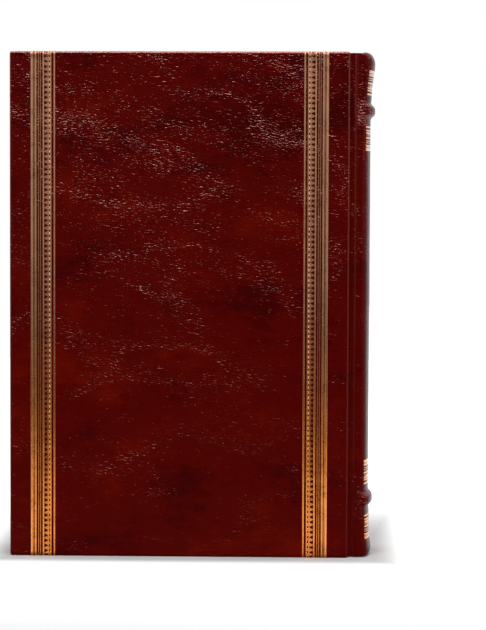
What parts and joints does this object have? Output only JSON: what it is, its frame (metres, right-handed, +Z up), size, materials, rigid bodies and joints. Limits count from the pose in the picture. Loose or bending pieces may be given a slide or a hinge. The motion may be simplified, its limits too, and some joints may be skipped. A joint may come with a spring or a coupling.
{
  "type": "leather diary",
  "caption": "Upright hardback diary bound in full leather, with gilt rolls, raised spine bands and two covers that swing open.",
  "frame": {"origin": "middle of the foot of the closed, upright book: the centre of its bounding box on the surface it stands on", "axes": "+Z up from tail to head, +X from the fore edge to the spine, +Y from the front cover to the back cover"},
  "size_m": [0.1574, 0.034, 0.218],
  "materials": {
    "pages": "matte",
    "endpaper": "matte",
    "headband_silk": "satin",
    "mull": "matte",
    "card": "matte",
    "board": "matte",
    "leather": "glossy",
    "gilt": "worn gilt"
  },
  "bodies": {
    "book_block": {"text_block": "pages", "front_flyleaf": "endpaper", "back_flyleaf": "endpaper", "headband": "headband_silk", "tailband": "headband_silk", "spine_mull": "mull", "spine_lining": "card", "spine_leather": "leather", "head_band_core": "card", "tail_band_core": "card", "spine_gilt_1": "gilt", "spine_gilt_2": "gilt", "spine_gilt_3": "gilt", "spine_gilt_4": "gilt"},
    "front_cover": {"front_board": "board", "front_infill": "card", "front_leather": "leather", "front_pastedown": "endpaper", "front_gilt_fore": "gilt", "front_gilt_joint": "gilt"},
    "back_cover": {"back_board": "board", "back_infill": "card", "back_leather": "leather", "back_pastedown": "endpaper", "back_gilt_fore": "gilt", "back_gilt_joint": "gilt"}
  },
  "joints": [
    {"name": "front_cover_hinge", "type": "hinge", "parent": "book_block", "child": "front_cover", "pos_m": [0.0696, -0.0162, 0.109], "axis": [0, 0, 1], "range_deg": [0, 180]},
    {"name": "back_cover_hinge", "type": "hinge", "parent": "book_block", "child": "back_cover", "pos_m": [0.0696, 0.0162, 0.109], "axis": [0, 0, -1], "range_deg": [0, 180]}
  ]
}
